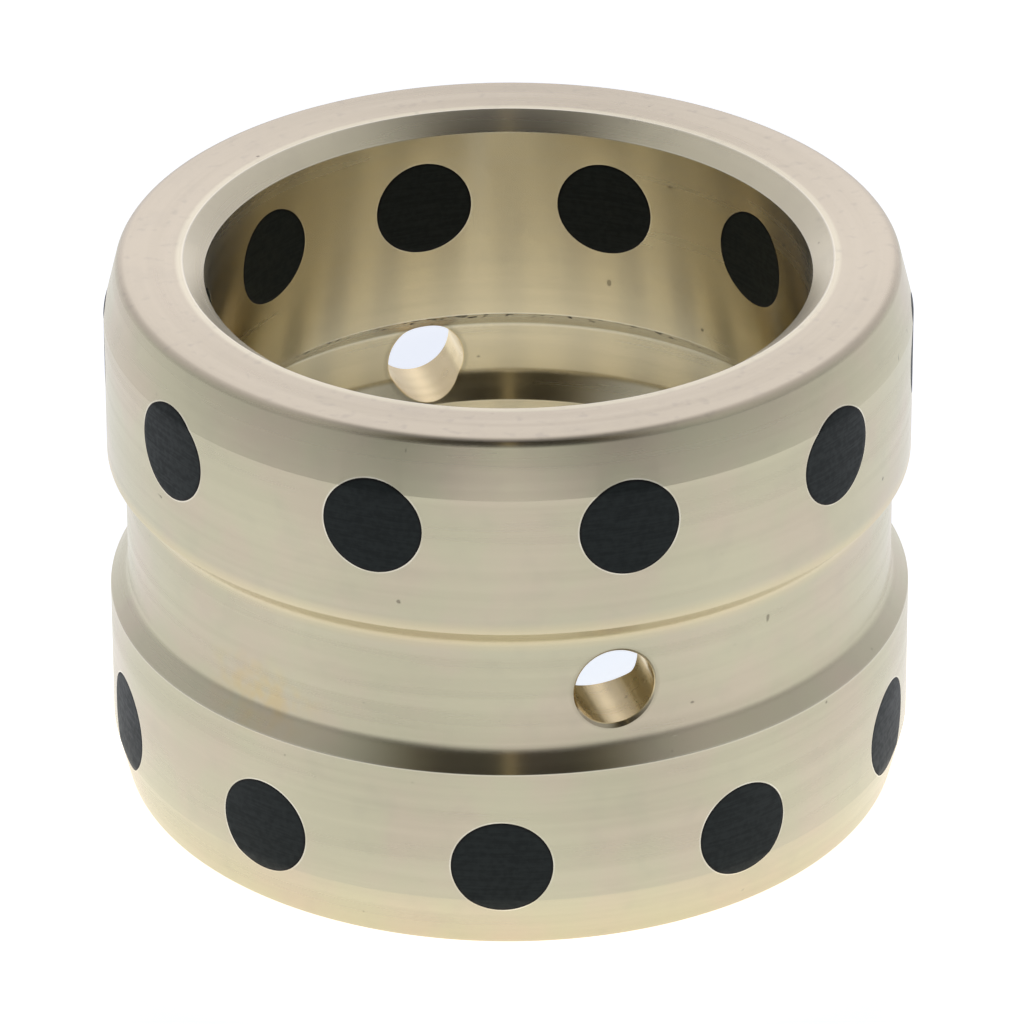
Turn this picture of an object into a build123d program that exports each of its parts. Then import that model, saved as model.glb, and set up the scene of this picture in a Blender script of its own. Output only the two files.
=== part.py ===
from build123d import *

import math
import os

# A graphite plugged bushing: a turned bronze sleeve with a row of graphite plugs near each end,
# a lubrication groove round the middle of the outside and of the bore, and two oil holes that
# join the grooves. All sizes are in millimetres. Z is the axis of the bore, the origin is the
# centre of the bottom face, and the oil holes lie along Y.

# Sleeve
bore_diameter = 60.0
wall_thickness = 10.0
sleeve_length = 56.0

# The long lead-in taper at each end of the outside, with the corner broken where it meets the end
# face, and the short countersink of the bore's mouths
lead_length = 5.8
lead_inset = 1.4
edge_break = 0.45
mouth_depth = 1.6
mouth_widening = 2.1

# Groove round the outside. Its height is that of its lower edge above the bottom face, and its
# root is the radius in the corners of its floor.
outer_groove_height = 20.0
outer_groove_width = 15.6
outer_groove_depth = 1.8
outer_groove_root = 1.4

# Groove round the bore
inner_groove_height = 23.6
inner_groove_width = 10.0
inner_groove_depth = 2.2
inner_groove_root = 1.0

# Both grooves have sides at this angle to the axis
groove_side_angle = 45.0

# Oil holes, drilled from the outside through the middle of the outer groove and countersunk
oil_hole_diameter = 8.0
oil_hole_countersink = 0.4
oil_hole_count = 2

# Graphite plugs, set in drilled holes with a thin film of adhesive round them, and then turned
# flush with the sleeve. The turn, in degrees, is that from the first oil hole to the first plug
# of the upper row.
plug_diameter = 10.0
plug_film = 0.02
plugs_in_row = 10
plug_row_from_end = 9.6
first_plug_turn = 1.3

# How far a cutting tool runs past the surface that it cuts
overrun = 1.0

full_turn = 360.0
first_oil_hole = -90.0
bore_radius = bore_diameter / 2
outer_radius = bore_radius + wall_thickness
outer_floor_radius = outer_radius - outer_groove_depth
inner_floor_radius = bore_radius + inner_groove_depth


def blank_section():
    """Half of the sleeve's section before grooving, with its tapers and the mouths of its bore."""
    mouth_radius = bore_radius + mouth_widening
    end_radius = outer_radius - lead_inset
    outline = Polyline(
        (bore_radius, mouth_depth),
        (mouth_radius, 0),
        (end_radius, 0),
        (outer_radius, lead_length),
        (outer_radius, sleeve_length - lead_length),
        (end_radius, sleeve_length),
        (mouth_radius, sleeve_length),
        (bore_radius, sleeve_length - mouth_depth),
        close=True,
    )
    section = make_face(Plane.XZ * outline)
    lower_corner = section.vertices().sort_by_distance((end_radius, 0, 0))[0]
    upper_corner = section.vertices().sort_by_distance((end_radius, 0, sleeve_length))[0]
    return chamfer([lower_corner, upper_corner], edge_break)


def groove_section(face_radius, floor_radius, height, width, root):
    """Section of a groove with sloping sides, open past the surface that it is cut into."""
    slope = math.tan(math.radians(groove_side_angle))
    side = abs(face_radius - floor_radius) / slope
    flare = overrun / slope
    open_radius = face_radius + math.copysign(overrun, face_radius - floor_radius)
    outline = Polyline(
        (open_radius, height - flare),
        (floor_radius, height + side),
        (floor_radius, height + width - side),
        (open_radius, height + width + flare),
        close=True,
    )
    section = make_face(Plane.XZ * outline)
    lower_corner = section.vertices().sort_by_distance((floor_radius, 0, height + side))[0]
    upper_corner = section.vertices().sort_by_distance((floor_radius, 0, height + width - side))[0]
    return fillet([lower_corner, upper_corner], root)


def sleeve_section():
    """Half of the turned sleeve's section, with both grooves."""
    outer_groove = groove_section(
        outer_radius, outer_floor_radius, outer_groove_height, outer_groove_width, outer_groove_root
    )
    inner_groove = groove_section(
        bore_radius, inner_floor_radius, inner_groove_height, inner_groove_width, inner_groove_root
    )
    return blank_section() - outer_groove - inner_groove


def radial_place(turn, height, distance=0.0):
    """A place this far from the axis, at this turn and height, with its Z pointing outwards."""
    return Rot(0, 0, turn) * Pos(distance, 0, height) * Rot(0, 90, 0)


def radial_rod(turn, height, diameter):
    """A round rod from the axis out past the sleeve, as a drill or an untrimmed plug lies."""
    length = outer_radius + overrun
    from_axis = (Align.CENTER, Align.CENTER, Align.MIN)
    return radial_place(turn, height) * Cylinder(diameter / 2, length, align=from_axis)


def oil_hole_tool(turn):
    """The drill and the countersink of one oil hole."""
    height = outer_groove_height + outer_groove_width / 2
    hole_radius = oil_hole_diameter / 2
    sink_length = oil_hole_countersink + overrun
    from_tip = (Align.CENTER, Align.CENTER, Align.MIN)
    sink = Cone(hole_radius, hole_radius + sink_length, sink_length, align=from_tip)
    sink_place = radial_place(turn, height, outer_floor_radius - oil_hole_countersink)
    return radial_rod(turn, height, oil_hole_diameter) + sink_place * sink


def plug_places():
    """Name, turn and height of each plug. The lower row stands half a pitch round from the upper."""
    pitch = full_turn / plugs_in_row
    first_turn = first_oil_hole + first_plug_turn
    rows = [
        ("upper", first_turn, sleeve_length - plug_row_from_end),
        ("lower", first_turn + pitch / 2, plug_row_from_end),
    ]
    for row, row_turn, height in rows:
        for number in range(plugs_in_row):
            name = f"{row}_graphite_plug_{number + 1:02d}"
            yield name, row_turn + number * pitch, height


def make_sleeve(turned):
    """The turned sleeve with its plug holes and oil holes drilled."""
    tools = [radial_rod(turn, height, plug_diameter) for name, turn, height in plug_places()]
    for number in range(oil_hole_count):
        tools.append(oil_hole_tool(first_oil_hole + number * full_turn / oil_hole_count))
    return turned - tools


def make_plug(turned, turn, height):
    """A plug trimmed with the sleeve, so that its ends follow the outside, the taper and the bore."""
    return turned & radial_rod(turn, height, plug_diameter - 2 * plug_film)


turned_sleeve = revolve(sleeve_section(), Axis.Z)

os.makedirs("parts", exist_ok=True)
export_step(make_sleeve(turned_sleeve), "parts/bronze_sleeve.step")
for plug_name, plug_turn, plug_height in plug_places():
    export_step(make_plug(turned_sleeve, plug_turn, plug_height), f"parts/{plug_name}.step")
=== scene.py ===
import math

import bmesh
import bpy
from mathutils import Matrix, Vector


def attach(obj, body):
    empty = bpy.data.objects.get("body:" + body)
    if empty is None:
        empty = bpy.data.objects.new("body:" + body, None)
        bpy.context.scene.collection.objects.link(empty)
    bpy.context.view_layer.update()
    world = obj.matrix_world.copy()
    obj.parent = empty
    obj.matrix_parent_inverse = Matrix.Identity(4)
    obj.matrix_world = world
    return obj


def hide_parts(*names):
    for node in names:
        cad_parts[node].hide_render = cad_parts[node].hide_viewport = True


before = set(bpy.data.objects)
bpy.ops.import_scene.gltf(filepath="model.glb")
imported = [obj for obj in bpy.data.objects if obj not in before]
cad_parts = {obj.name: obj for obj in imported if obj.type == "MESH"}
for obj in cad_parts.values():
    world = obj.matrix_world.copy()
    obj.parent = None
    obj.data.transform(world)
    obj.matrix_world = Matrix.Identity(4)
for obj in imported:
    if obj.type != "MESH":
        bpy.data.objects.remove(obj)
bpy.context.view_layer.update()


# Bronze sleeve: one length of cast bronze tube, turned all over on a lathe, with a long lead-in
# taper at each end of the outside, a short countersink at each mouth of the bore and a groove round
# the middle of each wall. The plug holes and the two oil holes are drilled through it afterwards.
bore_radius = 0.030
outer_radius = 0.040
sleeve_length = 0.056
lead_length = 0.0058
lead_inset = 0.0014
mouth_depth = 0.0016
mouth_widening = 0.0021
edge_break = 0.00045
edge_round = 0.0010
worn_edge = 0.00012
outer_groove = {"bottom": 0.0200, "width": 0.0156, "depth": 0.0018, "root": 0.0014}
inner_groove = {"bottom": 0.0236, "width": 0.0100, "depth": 0.0022, "root": 0.0010}
plug_hole_radius = 0.0050
oil_hole_radius = 0.0040
oil_hole_countersink = 0.0004
oil_hole_height = outer_groove["bottom"] + outer_groove["width"] / 2
oil_hole_turn = -90.0
plug_turn_from_oil_hole = 1.3
first_oil_hole = math.radians(oil_hole_turn)
first_plug = math.radians(oil_hole_turn + plug_turn_from_oil_hole)
plugs_in_row = 10
plug_row_from_end = 0.0096
drill_from = 0.026
drill_to = 0.044
steps_round_sleeve = 480
steps_round_hole = 128
steps_round_corner = 4
weld_distance = 1e-7
sleeve_crease = math.radians(32)


def groove_corners(wall, groove, into_wall):
    """Corners of a groove with 45 degree sides, from its lower edge up: radius, height, rounding."""
    floor = wall + into_wall * groove["depth"]
    low, high = groove["bottom"], groove["bottom"] + groove["width"]
    return [
        (wall, low, worn_edge),
        (floor, low + groove["depth"], groove["root"]),
        (floor, high - groove["depth"], groove["root"]),
        (wall, high, worn_edge),
    ]


def end_corner(end, inwards):
    """The two corners left by breaking the edge between an end face and its lead-in taper."""
    slant = math.hypot(lead_inset, lead_length)
    corner = outer_radius - lead_inset
    on_face = (corner - edge_break, end, edge_round)
    on_taper = (
        corner + edge_break * lead_inset / slant, end + inwards * edge_break * lead_length / slant,
        edge_round,
    )
    return [on_face, on_taper][::inwards]


def turned_profile(corners):
    """A closed outline in the XZ plane whose corners are rounded to the radii given."""
    bm = bmesh.new()
    verts = [bm.verts.new((r, 0, z)) for r, z, _ in corners]
    for a, b in zip(verts, verts[1:] + verts[:1]):
        bm.edges.new((a, b))
    for vert, (_, _, radius) in zip(verts, corners):
        one, two = [(e.other_vert(vert).co - vert.co) for e in vert.link_edges]
        turn = math.pi - one.angle(two)
        bmesh.ops.bevel(
            bm, geom=[vert], offset=radius * math.tan(turn / 2), offset_type="OFFSET",
            segments=steps_round_corner, profile=0.5, affect="VERTICES", material=-1,
        )
    return bm


def spun(bm, axis, steps):
    """The outline turned a full circle about this axis, closed and facing outwards."""
    bmesh.ops.spin(
        bm, geom=bm.verts[:] + bm.edges[:], cent=(0, 0, 0), axis=axis, dvec=(0, 0, 0),
        angle=math.tau, steps=steps, use_merge=True, use_duplicate=False,
    )
    bmesh.ops.remove_doubles(bm, verts=bm.verts, dist=weld_distance)
    bmesh.ops.recalc_face_normals(bm, faces=bm.faces)


def new_object(bm, name):
    """Puts the finished mesh in the scene as an object of its own, at the origin."""
    mesh = bpy.data.meshes.new(name)
    bm.to_mesh(mesh)
    bm.free()
    obj = bpy.data.objects.new(name, mesh)
    bpy.context.scene.collection.objects.link(obj)
    return obj


def smooth_with_creases(mesh, crease):
    """Smooth shading all over, broken where two faces meet at more than the crease angle."""
    bm = bmesh.new()
    bm.from_mesh(mesh)
    for face in bm.faces:
        face.smooth = True
    for edge in bm.edges:
        edge.smooth = len(edge.link_faces) == 2 and edge.calc_face_angle() < crease
    bm.to_mesh(mesh)
    bm.free()


outside = [
    (bore_radius + mouth_widening, 0, worn_edge),
    *end_corner(0, 1),
    (outer_radius, lead_length, worn_edge),
    *groove_corners(outer_radius, outer_groove, -1),
    (outer_radius, sleeve_length - lead_length, worn_edge),
    *end_corner(sleeve_length, -1),
    (bore_radius + mouth_widening, sleeve_length, worn_edge),
]
inside = [
    (bore_radius, mouth_depth, worn_edge),
    *groove_corners(bore_radius, inner_groove, 1),
    (bore_radius, sleeve_length - mouth_depth, worn_edge),
]
profile = turned_profile(outside + inside[::-1])
spun(profile, (0, 0, 1), steps_round_sleeve)
sleeve = new_object(profile, "turned_bronze_sleeve")


def radial(turn, height):
    """Turns what lies along +X to this angle round the sleeve, at this height."""
    return Matrix.Translation((0, 0, height)) @ Matrix.Rotation(turn, 4, "Z")


def plug_seats():
    """Row, number, turn and height of every plug. The rows are staggered by half a pitch."""
    pitch = math.tau / plugs_in_row
    rows = [
        ("upper", first_plug, sleeve_length - plug_row_from_end),
        ("lower", first_plug + pitch / 2, plug_row_from_end),
    ]
    for row, start, height in rows:
        for number in range(plugs_in_row):
            yield row, number + 1, start + number * pitch, height


drills = bmesh.new()
for _, _, turn, height in plug_seats():
    seat = radial(turn, height) @ Matrix.Translation(((drill_from + drill_to) / 2, 0, 0))
    bmesh.ops.create_cone(
        drills, cap_ends=True, segments=steps_round_hole, radius1=plug_hole_radius,
        radius2=plug_hole_radius, depth=drill_to - drill_from,
        matrix=seat @ Matrix.Rotation(math.pi / 2, 4, "Y"),
    )

# Each oil drill is a straight rod that widens at 45 degrees past the groove's floor, for the sink
sink_tip = outer_radius - outer_groove["depth"] - oil_hole_countersink
sink_radius = oil_hole_radius + drill_to - sink_tip
oil_drill_corners = (
    (drill_from, 0, 0), (drill_from, 0, oil_hole_radius), (sink_tip, 0, oil_hole_radius),
    (drill_to, 0, sink_radius), (drill_to, 0, 0),
)
for opposite in range(2):
    tool = bmesh.new()
    corners = [tool.verts.new(corner) for corner in oil_drill_corners]
    for pair in zip(corners, corners[1:]):
        tool.edges.new(pair)
    spun(tool, (1, 0, 0), steps_round_hole)
    seat = radial(first_oil_hole + opposite * math.pi, oil_hole_height)
    bmesh.ops.transform(tool, matrix=seat, verts=tool.verts)
    scratch = bpy.data.meshes.new("oil_drill")
    tool.to_mesh(scratch)
    tool.free()
    drills.from_mesh(scratch)
    bpy.data.meshes.remove(scratch)
drill_set = new_object(drills, "drills")

cut = sleeve.modifiers.new("drilled holes", "BOOLEAN")
cut.operation = "DIFFERENCE"
cut.solver = "EXACT"
cut.object = drill_set
drilled = bpy.data.meshes.new_from_object(
    sleeve.evaluated_get(bpy.context.evaluated_depsgraph_get())
)
sleeve.modifiers.clear()
sleeve.data = drilled
drilled.name = "turned_bronze_sleeve"
bpy.data.objects.remove(drill_set)
smooth_with_creases(drilled, sleeve_crease)
drilled.materials.clear()


def wire(tree, value, socket):
    """Links an output to the socket, or sets the socket to a plain value."""
    if isinstance(value, bpy.types.NodeSocket):
        tree.links.new(value, socket)
    else:
        socket.default_value = value


def maths(tree, operation, *values):
    """One sum, product or other operation on one, two or three values."""
    node = tree.nodes.new("ShaderNodeMath")
    node.operation = operation
    for value, socket in zip(values, node.inputs):
        wire(tree, value, socket)
    return node.outputs[0]


def ease(tree, value, start, end, low=0.0, high=1.0):
    """Goes smoothly from low to high as the value goes from start to end."""
    node = tree.nodes.new("ShaderNodeMapRange")
    node.interpolation_type = "SMOOTHSTEP"
    given = {"Value": value, "From Min": start, "From Max": end, "To Min": low, "To Max": high}
    for name, amount in given.items():
        wire(tree, amount, node.inputs[name])
    return node.outputs["Result"]


def blend(tree, amount, one, other):
    """The first colour, going over to the other by this amount."""
    node = tree.nodes.new("ShaderNodeMix")
    node.data_type = "RGBA"
    wire(tree, amount, node.inputs[0])
    wire(tree, one, node.inputs[6])
    wire(tree, other, node.inputs[7])
    return node.outputs[2]


def vector(tree, *parts):
    """Three values joined into one place or direction."""
    node = tree.nodes.new("ShaderNodeCombineXYZ")
    for part, socket in zip(parts, node.inputs):
        wire(tree, part, socket)
    return node.outputs[0]


def noise(tree, place, size, detail=2.0, dimensions="3D", w=0.0):
    """Noise whose lumps are about as large as the size, in metres."""
    node = tree.nodes.new("ShaderNodeTexNoise")
    node.noise_dimensions = dimensions
    wire(tree, place, node.inputs["Vector"])
    if dimensions == "4D":
        wire(tree, w, node.inputs["W"])
    node.inputs["Scale"].default_value = 1 / size
    node.inputs["Detail"].default_value = detail
    return node.outputs["Fac"]


def hypotenuse(tree, one, other):
    """Length of the line whose two legs are given."""
    squares = [maths(tree, "MULTIPLY", side, side) for side in (one, other)]
    return maths(tree, "SQRT", maths(tree, "ADD", *squares))


class Place:
    """Where a point of a piece lies about the sleeve's axis: x, y, z, radius and turn."""

    def __init__(self, tree):
        self.tree = tree
        self.point = tree.nodes.new("ShaderNodeTexCoord").outputs["Object"]
        split = tree.nodes.new("ShaderNodeSeparateXYZ")
        tree.links.new(self.point, split.inputs[0])
        self.x, self.y, self.z = split.outputs
        self.radius = hypotenuse(tree, self.x, self.y)
        self.turn = maths(tree, "ARCTAN2", self.y, self.x)

    def turning_lines(self, width, length):
        """Noise drawn out into lines round the axis, this wide and about this long, in metres."""
        tree = self.tree
        stretch = width / length * outer_radius
        cosine = maths(tree, "DIVIDE", self.x, self.radius)
        sine = maths(tree, "DIVIDE", self.y, self.radius)
        place = vector(tree, self.radius, self.z, maths(tree, "MULTIPLY", cosine, stretch))
        return noise(tree, place, width, 2.0, "4D", maths(tree, "MULTIPLY", sine, stretch))

    def from_plug(self):
        """Distance from the axis of the nearest plug. The lower row is half a pitch further round."""
        tree = self.tree
        away = []
        pitch = math.tau / plugs_in_row
        rows = ((sleeve_length - plug_row_from_end, 0.0), (plug_row_from_end, 0.5))
        for row_height, stagger in rows:
            turns = maths(tree, "DIVIDE", self.turn, pitch)
            turns = maths(tree, "SUBTRACT", turns, first_plug / pitch + stagger)
            off_centre = maths(tree, "MULTIPLY", maths(tree, "WRAP", turns, 0.5, -0.5), pitch)
            across = maths(tree, "MULTIPLY", maths(tree, "SINE", off_centre), self.radius)
            away.append(hypotenuse(tree, across, maths(tree, "SUBTRACT", self.z, row_height)))
        return maths(tree, "MINIMUM", *away)

    def from_oil_hole(self):
        """Distance from the line through the two oil holes."""
        up = maths(self.tree, "SUBTRACT", self.z, oil_hole_height)
        return hypotenuse(self.tree, self.x, up)

    def from_rings(self, *rings):
        """Distance from the nearest of these turned edges, each given by its radius and height."""
        tree = self.tree
        nearest = 1.0
        for ring_radius, ring_height in rings:
            out = maths(tree, "SUBTRACT", self.radius, ring_radius)
            away = hypotenuse(tree, out, maths(tree, "SUBTRACT", self.z, ring_height))
            nearest = maths(tree, "MINIMUM", nearest, away)
        return nearest

    def spot(self, turn, height, width, tall):
        """An oval spot on the wall that fades out at its edge: 1 in its middle, 0 outside it."""
        tree = self.tree
        along = maths(tree, "MULTIPLY", maths(tree, "SUBTRACT", self.turn, turn), self.radius)
        up = maths(tree, "SUBTRACT", self.z, height)
        along = maths(tree, "DIVIDE", along, width / 2)
        up = maths(tree, "DIVIDE", up, tall / 2)
        return ease(tree, hypotenuse(tree, along, up), 0.2, 1.0, 1.0, 0.0)


bronze_rosy = (0.608, 0.530, 0.393, 1)
bronze_green = (0.585, 0.546, 0.384, 1)
bronze_ends = (0.600, 0.526, 0.386, 1)
bronze_bore = (0.722, 0.655, 0.472, 1)
line_colour = (0.30, 0.26, 0.17, 1)
burnish_and_highlight_colour = (0.90, 0.85, 0.70, 1)
fresh_and_lit_colour = (0.80, 0.66, 0.39, 1)
stain_colour = (0.66, 0.50, 0.23, 1)
groove_highlight_colour = (0.80, 0.68, 0.42, 1)
smudge_colour = (0.30, 0.28, 0.24, 1)
grime_colour = (0.060, 0.045, 0.030, 1)

bronze = bpy.data.materials.new("turned_bronze")
bronze.use_nodes = True
tree = bronze.node_tree
shader = tree.nodes["Principled BSDF"]
place = Place(tree)

# Faint rosy and greenish clouds outside, rosy end faces, a paler bore, and the turning lines
cloud_size = 0.009
end_tone_starts = sleeve_length / 2 - 0.0007
end_tone_full = sleeve_length / 2 - 0.0001
bore_tone_ends = 0.0325
outer_tone_starts = 0.0330
fine_line_width = 0.00016
broad_line_width = 0.0014
line_length = 0.060
line_strength = 0.025
clouds = noise(tree, place.point, cloud_size, 3.0)
colour = blend(tree, ease(tree, clouds, 0.32, 0.62), bronze_rosy, bronze_green)
from_middle = maths(tree, "ABSOLUTE", maths(tree, "SUBTRACT", place.z, sleeve_length / 2))
end_face = ease(tree, from_middle, end_tone_starts, end_tone_full)
colour = blend(tree, end_face, colour, bronze_ends)
in_bore = ease(tree, place.radius, bore_tone_ends, outer_tone_starts, 1.0, 0.0)
colour = blend(tree, in_bore, colour, bronze_bore)
fine_lines = place.turning_lines(fine_line_width, line_length)
broad_lines = place.turning_lines(broad_line_width, line_length)
fine_shade = ease(tree, fine_lines, 0.3, 0.7, 0.0, line_strength)
broad_shade = ease(tree, broad_lines, 0.3, 0.7, 0.0, line_strength)
colour = blend(tree, maths(tree, "ADD", fine_shade, broad_shade), colour, line_colour)

# Handling marks: dull smudges, freckles on the end faces, and a stain in the groove outside
smudge_size = 0.0034
smudge_strength = 0.06
freckle_size = 0.0013
freckle_strength = 0.15
stain_blot_size = 0.0026
stain_strength = 0.50
smudges = noise(tree, place.point, smudge_size, 3.0)
smudges = ease(tree, smudges, 0.50, 0.72, 0.0, smudge_strength)
freckles = noise(tree, place.point, freckle_size, 2.0)
freckles = ease(tree, freckles, 0.56, 0.74, 0.0, freckle_strength)
smudges = maths(tree, "ADD", smudges, maths(tree, "MULTIPLY", freckles, end_face))
colour = blend(tree, smudges, colour, smudge_colour)
stain = place.spot(turn=math.radians(-145), height=0.0235, width=0.018, tall=0.010)
stain_blots = noise(tree, place.point, stain_blot_size, 2.0)
stain_blots = ease(tree, stain_blots, 0.38, 0.66, 0.0, stain_strength)
colour = blend(tree, maths(tree, "MULTIPLY", stain, stain_blots), colour, stain_colour)

# A painted golden reflection lies along the upper side of the groove round the outside
highlight_full = 0.0010
highlight_ends = 0.0025
highlight_strength = 0.60
side_middle = outer_groove["bottom"] + outer_groove["width"] - outer_groove["depth"] / 2
from_side = place.from_rings((outer_radius - outer_groove["depth"] / 2, side_middle))
groove_highlight = ease(tree, from_side, highlight_full, highlight_ends, highlight_strength, 0.0)
colour = blend(tree, groove_highlight, colour, groove_highlight_colour)

# Drilling leaves the oil holes with a dull edge, and their walls are painted bright and golden. The
# rims of the plug holes and the turned edges are lighter, partly burnish and partly a painted
# highlight.
dull_edge_strength = 0.30
rim_patch_size = 0.0040
edge_highlight_strength = 0.35
from_hole = place.from_oil_hole()
dull_edge = ease(
    tree, from_hole, oil_hole_radius + 0.0002, oil_hole_radius + 0.0007, dull_edge_strength, 0.0,
)
colour = blend(tree, dull_edge, colour, line_colour)
# Oil hole walls: a fresh-drilled tone, painted brighter and golden as painted light that the walls
# catch
fresh_and_lit_wall = ease(tree, from_hole, oil_hole_radius + 0.00002, oil_hole_radius + 0.00012, 1.0, 0.0)
colour = blend(tree, fresh_and_lit_wall, colour, fresh_and_lit_colour)
from_plug = place.from_plug()
# Plug hole rims: burnish and a painted highlight, in patches
rim_burnish_and_highlight = ease(tree, from_plug, plug_hole_radius + 0.00006, plug_hole_radius + 0.00020, 1.0, 0.0)
rim_patches = ease(tree, noise(tree, place.point, rim_patch_size, 1.0), 0.35, 0.65, 0.15, 0.75)
colour = blend(tree, maths(tree, "MULTIPLY", rim_burnish_and_highlight, rim_patches), colour, burnish_and_highlight_colour)
# Turned edges: burnish and a painted highlight along each edge
edges = place.from_rings(
    (bore_radius + mouth_widening, sleeve_length), (bore_radius, sleeve_length - mouth_depth),
    (bore_radius + mouth_widening, 0), (bore_radius, mouth_depth),
    (outer_radius, outer_groove["bottom"]),
    (bore_radius, inner_groove["bottom"] + inner_groove["width"]),
    (bore_radius, inner_groove["bottom"]),
)
edges = ease(tree, edges, 0.00006, 0.00018, edge_highlight_strength, 0.0)
colour = blend(tree, edges, colour, burnish_and_highlight_colour)

# Grime: crumbs caught along the upper side of the inner groove, and a few pits everywhere
crumb_size = 0.0009
catch_depth = 0.0005
catch_full = 0.00035
catch_ends = 0.0008
pit_size = 0.0010
pit_strength = 0.5
groove_top = inner_groove["bottom"] + inner_groove["width"]
catch_ring = place.from_rings((bore_radius + catch_depth, groove_top - catch_depth))
caught = ease(tree, catch_ring, catch_full, catch_ends, 1.0, 0.0)
crumbs = ease(tree, noise(tree, place.point, crumb_size, 1.0), 0.58, 0.66)
colour = blend(tree, maths(tree, "MULTIPLY", caught, crumbs), colour, grime_colour)
pits = ease(tree, noise(tree, place.point, pit_size, 0.0), 0.86, 0.92, 0.0, pit_strength)
colour = blend(tree, pits, colour, grime_colour)

# The turning lines also show as a fine grain, and stretch the gloss across them
turned_grain = tree.nodes.new("ShaderNodeBump")
turned_grain.inputs["Strength"].default_value = 0.05
turned_grain.inputs["Distance"].default_value = 0.00002
wire(tree, fine_lines, turned_grain.inputs["Height"])
wire(tree, turned_grain.outputs[0], shader.inputs["Normal"])
shader.inputs["Metallic"].default_value = 1.0
shader.inputs["Anisotropic"].default_value = 0.97
shader.inputs["Anisotropic Rotation"].default_value = 0.25
round_axis = vector(tree, maths(tree, "MULTIPLY", place.y, -1.0), place.x, 0.0)
wire(tree, round_axis, shader.inputs["Tangent"])
wire(tree, ease(tree, broad_lines, 0.3, 0.7, 0.24, 0.28), shader.inputs["Roughness"])
wire(tree, colour, shader.inputs["Base Color"])
drilled.materials.append(bronze)
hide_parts("bronze_sleeve")
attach(sleeve, "root")


# Graphite plugs: pressed rods of graphite, glued into the drilled holes and then turned together
# with the sleeve, so that each end follows the outside, the start of the taper and the bore.
plug_radius = 0.00498
plug_rim = 0.00006
rod_length = 0.008
ring_widths = (0.00006, 0.00030, 0.00050, 0.0008, 0.0010, 0.0012)
steps_round_plug = 96
plug_crease = math.radians(50)


def outside_radius(height):
    """Radius of the sleeve's outside at this height, tapers included and the groove left out."""
    from_end = min(height, sleeve_length - height)
    return outer_radius - lead_inset * max(0.0, 1 - from_end / lead_length)


def turned_plug(row, number, turn, height):
    """A rod with rings of faces in its ends, split at the taper and trimmed with the sleeve."""
    bm = bmesh.new()
    middle = (bore_radius + outer_radius) / 2
    bmesh.ops.create_cone(
        bm, cap_ends=True, segments=steps_round_plug, radius1=plug_radius, radius2=plug_radius,
        depth=rod_length,
        matrix=Matrix.Translation((middle, 0, 0)) @ Matrix.Rotation(math.pi / 2, 4, "Y"),
    )
    for cap in [f for f in bm.faces if len(f.verts) > 4]:
        for width in ring_widths:
            bmesh.ops.inset_region(bm, faces=[cap], thickness=width, use_even_offset=True)
    taper_start = (sleeve_length - lead_length) if row == "upper" else lead_length
    bmesh.ops.bisect_plane(
        bm, geom=bm.verts[:] + bm.edges[:] + bm.faces[:], dist=weld_distance,
        plane_co=(0, 0, taper_start - height), plane_no=(0, 0, 1),
    )
    for vert in bm.verts:
        across = math.hypot(vert.co.y, vert.co.z)
        below_rim = plug_rim / 2 if across > plug_radius - plug_rim / 2 else 0.0
        if vert.co.x > middle:
            radius = outside_radius(height + vert.co.z)
            vert.co.x = math.sqrt(radius ** 2 - vert.co.y ** 2) - below_rim
        else:
            vert.co.x = math.sqrt(bore_radius ** 2 - vert.co.y ** 2) + below_rim
    bmesh.ops.transform(bm, matrix=radial(turn, height), verts=bm.verts)
    bmesh.ops.recalc_face_normals(bm, faces=bm.faces)
    plug = new_object(bm, f"{row}_graphite_rod_{number:02d}")
    smooth_with_creases(plug.data, plug_crease)
    return plug


graphite_dark = (0.0055, 0.0090, 0.0083, 1)
graphite_pale = (0.0094, 0.0144, 0.0132, 1)
glue_and_shade_colour = (0.0030, 0.0030, 0.0030, 1)
grain_size = 0.0006
grain_line_width = 0.00022
grain_line_length = 0.004
dark_rim_starts = plug_radius - 0.00028
dark_rim_full = plug_radius - 0.00010

graphite = bpy.data.materials.new("turned_graphite")
graphite.use_nodes = True
tree = graphite.node_tree
shader = tree.nodes["Principled BSDF"]
place = Place(tree)

# Pressed grain, drawn out a little by the turning tool, with a dark rim of glue and painted shade in
# the gap round each plug
pressed = noise(tree, place.point, grain_size, 3.0)
grain = maths(tree, "ADD", pressed, place.turning_lines(grain_line_width, grain_line_length))
colour = blend(tree, ease(tree, grain, 0.75, 1.25), graphite_dark, graphite_pale)
glue_and_shade = ease(tree, place.from_plug(), dark_rim_starts, dark_rim_full)
wire(tree, blend(tree, glue_and_shade, colour, glue_and_shade_colour), shader.inputs["Base Color"])
wire(tree, ease(tree, grain, 0.75, 1.25, 0.60, 0.50), shader.inputs["Roughness"])
shader.inputs["Specular IOR Level"].default_value = 0.19
grain_height = tree.nodes.new("ShaderNodeBump")
grain_height.inputs["Strength"].default_value = 0.15
grain_height.inputs["Distance"].default_value = 0.00003
wire(tree, grain, grain_height.inputs["Height"])
wire(tree, grain_height.outputs[0], shader.inputs["Normal"])

for row, number, turn, height in plug_seats():
    plug = turned_plug(row, number, turn, height)
    plug.data.materials.append(graphite)
    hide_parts(f"{row}_graphite_plug_{number:02d}")
    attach(plug, "root")


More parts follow.
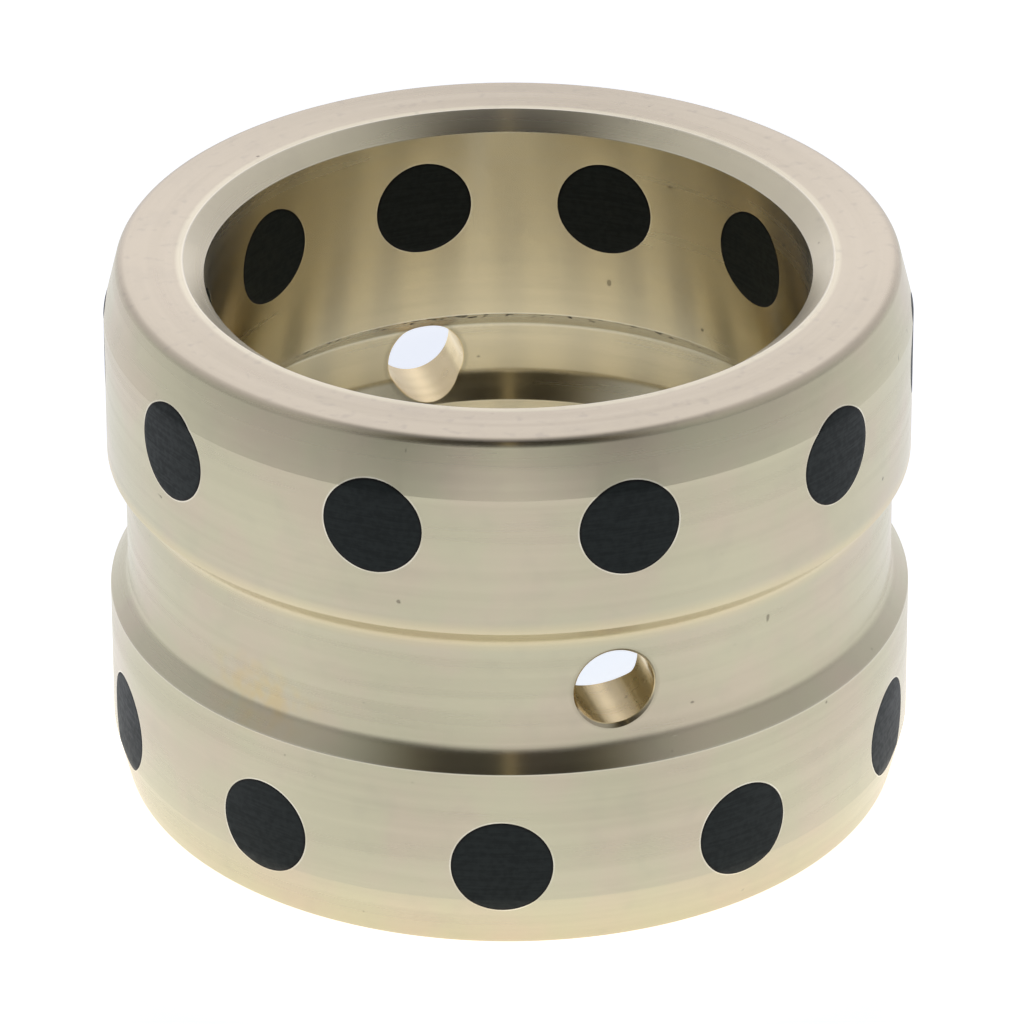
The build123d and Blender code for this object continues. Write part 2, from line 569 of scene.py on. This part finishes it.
# Floor: a plain sheet of frosted acrylic, cut from flat stock, that the bushing only stands on. Its
# glow is painted light, with no lamp under it: it keeps the sheet white round the bushing and is
# brightest at its foot, with painted shade under the bushing and a painted shadow behind it.
sheet_radius = 3.0
steps_round_sheet = 96
sheet = bmesh.new()
bmesh.ops.create_circle(sheet, cap_ends=True, segments=steps_round_sheet, radius=sheet_radius)
floor = new_object(sheet, "floor")
sheet_colour = (0.6, 0.6, 0.6, 1)
shade_glow = (0.90, 0.965, 1.08, 1)
warm_glow = (1.06, 1.0, 0.90, 1)
white_glow = (0.98, 1.0, 1.05, 1)
pale_floor = bpy.data.materials.new("pale_floor")
pale_floor.use_nodes = True
tree = pale_floor.node_tree
shader = tree.nodes["Principled BSDF"]
shader.inputs["Base Color"].default_value = sheet_colour
shader.inputs["Roughness"].default_value = 0.9
shader.inputs["Specular IOR Level"].default_value = 0.1
place = Place(tree)

# The studio faces the bushing from 15.5 degrees to the left of its front oil hole. These are
# distances on the sheet from the bushing's axis, behind it and across, as seen from there.
front_turn = math.radians(-15.5)
ahead = (math.sin(front_turn), -math.cos(front_turn))
behind = maths(
    tree, "ADD", maths(tree, "MULTIPLY", place.x, -ahead[0]),
    maths(tree, "MULTIPLY", place.y, -ahead[1]),
)
across = maths(
    tree, "ADD", maths(tree, "MULTIPLY", place.x, -ahead[1]),
    maths(tree, "MULTIPLY", place.y, ahead[0]),
)

# An oval shade behind the bushing: 1 in its middle, 0 outside it
shade_middle = 0.051
shade_half_width = 0.036
shade_half_length = 0.062
shade = hypotenuse(
    tree, maths(tree, "DIVIDE", across, shade_half_width),
    maths(tree, "DIVIDE", maths(tree, "SUBTRACT", behind, shade_middle), shade_half_length),
)
shade = ease(tree, shade, 0.62, 0.94, 1.0, 0.0)

# The sheet glows most at the bushing's foot, a little more again beside and before it, and less
# far off, under the bushing and in the shade
foot_glow = 1.08
sheet_glow = 0.73
far_loss = 0.24
beside_gain = 0.11
beside_loss = 0.08
before_gain = 0.055
mid_bore_glow = 1.0
bore_edge_glow = 0.62
shade_glow_near = 0.85
shade_glow_far = 0.58
glow = maths(
    tree, "ADD", ease(tree, place.radius, 0.040, 0.062, foot_glow, sheet_glow),
    ease(tree, place.radius, 0.17, 0.32, 0.0, -far_loss),
)
aside = maths(tree, "ABSOLUTE", across)
beside = maths(
    tree, "ADD", ease(tree, aside, 0.034, 0.050, 0.0, beside_gain),
    ease(tree, aside, 0.056, 0.074, 0.0, -beside_loss),
)
beside = maths(tree, "MULTIPLY", beside, ease(tree, behind, -0.062, -0.035))
before = maths(
    tree, "ADD", ease(tree, behind, -0.036, -0.050, 0.0, before_gain),
    ease(tree, behind, -0.068, -0.085, 0.0, -before_gain),
)
glow = maths(tree, "ADD", glow, maths(tree, "ADD", beside, before))
within = ease(tree, place.radius, 0.008, 0.030, mid_bore_glow, bore_edge_glow)
past_wall = ease(tree, place.radius, 0.031, 0.037)
glow = maths(tree, "MINIMUM", glow, maths(tree, "ADD", within, past_wall))
in_shade = ease(tree, place.radius, 0.030, 0.050, shade_glow_near, shade_glow_far)
change_in_shade = maths(tree, "MULTIPLY", shade, maths(tree, "SUBTRACT", in_shade, glow))
glow = maths(tree, "ADD", glow, change_in_shade)
tint = blend(tree, ease(tree, place.radius, 0.038, 0.050), warm_glow, white_glow)
tint = blend(tree, shade, tint, shade_glow)
wire(tree, tint, shader.inputs["Emission Color"])
wire(tree, glow, shader.inputs["Emission Strength"])
floor.data.materials.append(pale_floor)


# Light: a plain tent of white cloth, hung round and over the bushing and lit from outside. It is
# brightest behind the bushing and low in front, with a dark opening in front for the camera and a
# narrow bright gap over that.
world = bpy.data.worlds.new("studio")
bpy.context.scene.world = world
world.use_nodes = True
tree = world.node_tree
direction = tree.nodes.new("ShaderNodeTexCoord").outputs["Generated"]
split = tree.nodes.new("ShaderNodeSeparateXYZ")
tree.links.new(direction, split.inputs[0])
east, north, height = split.outputs
from_front = maths(tree, "ARCTAN2", east, maths(tree, "MULTIPLY", north, -1.0))
from_front = maths(tree, "SUBTRACT", from_front, front_turn)
from_front = maths(tree, "ABSOLUTE", maths(tree, "WRAP", from_front, math.pi, -math.pi))
lift = maths(tree, "ARCSINE", height)
tent = {
    "side": 0.58, "rear_side": 0.68, "back": 1.27, "top": 0.31, "front": 0.015, "low_front": 1.14,
    "low_side": 0.17, "low_back": 0.95, "gap": 0.44,
}
side_cast = (0.98, 1.0, 1.03, 1)
back_cast = (1.0, 1.0, 1.13, 1)
warm_cast = (1.25, 1.0, 0.55, 1)


def degrees(*angles):
    """Angles in degrees, as the shader's radians."""
    return [math.radians(angle) for angle in angles]


to_side = ease(tree, from_front, *degrees(21, 68), tent["front"], tent["side"])
to_rear_side = ease(tree, from_front, *degrees(85, 120), 0.0, tent["rear_side"] - tent["side"])
to_back = ease(tree, from_front, *degrees(140, 180), 0.0, tent["back"] - tent["rear_side"])
wall = maths(tree, "ADD", maths(tree, "ADD", to_side, to_rear_side), to_back)
wall = maths(tree, "MULTIPLY", wall, ease(tree, lift, *degrees(55, 78), 1.0, tent["top"]))
to_low_side = ease(tree, from_front, *degrees(0, 36), tent["low_front"], tent["low_side"])
to_low_back = ease(tree, from_front, *degrees(62, 165), 0.0, tent["low_back"] - tent["low_side"])
foot = maths(tree, "ADD", to_low_side, to_low_back)
above = ease(tree, lift, *degrees(4, 22))
level = maths(
    tree, "ADD", maths(tree, "MULTIPLY", wall, above),
    maths(tree, "MULTIPLY", foot, maths(tree, "SUBTRACT", 1.0, above)),
)
gap = maths(
    tree, "MULTIPLY", ease(tree, from_front, *degrees(0.8, 1.6), tent["gap"], 0.0),
    ease(tree, lift, *degrees(10, 30)),
)
cast = blend(tree, ease(tree, from_front, *degrees(60, 150)), side_cast, back_cast)
over_opening = maths(
    tree, "MULTIPLY", ease(tree, from_front, *degrees(20, 50), 1.0, 0.0),
    ease(tree, lift, *degrees(15, 40)),
)
cast = blend(tree, over_opening, cast, warm_cast)
background = tree.nodes["Background"]
wire(tree, cast, background.inputs["Color"])
wire(tree, maths(tree, "ADD", level, gap), background.inputs["Strength"])
bpy.context.scene.view_settings.view_transform = "Standard"


# Camera: a long lens on a stand in the tent's opening, 0.92 m from the bushing and well above it,
# pointed at the bushing's middle and leaning by a fifth of a degree.
frame_pixels = 1024
focal_pixels = 9197
elevation = math.radians(28.97)
lean = math.radians(-0.22)
distance = 0.9191
aim_height = 0.02826
aim_right = 0.000275
aim_down = 0.001164
lens_data = bpy.data.cameras.new("camera")
camera = bpy.data.objects.new("camera", lens_data)
bpy.context.scene.collection.objects.link(camera)
lens_data.sensor_width = 36.0
lens_data.lens = focal_pixels / frame_pixels * lens_data.sensor_width
lens_data.clip_end = 50
towards = Vector((
    math.sin(front_turn) * math.cos(elevation), -math.cos(front_turn) * math.cos(elevation),
    math.sin(elevation),
))
right = Vector((math.cos(front_turn), math.sin(front_turn), 0))
up = towards.cross(right)
roll = Matrix.Rotation(lean, 4, towards)
right, up = roll @ right, roll @ up
aim = Vector((0, 0, aim_height)) + right * aim_right - up * aim_down
turned = Matrix((right, up, towards)).transposed().to_4x4()
camera.matrix_world = Matrix.Translation(aim + towards * distance) @ turned
bpy.context.scene.camera = camera
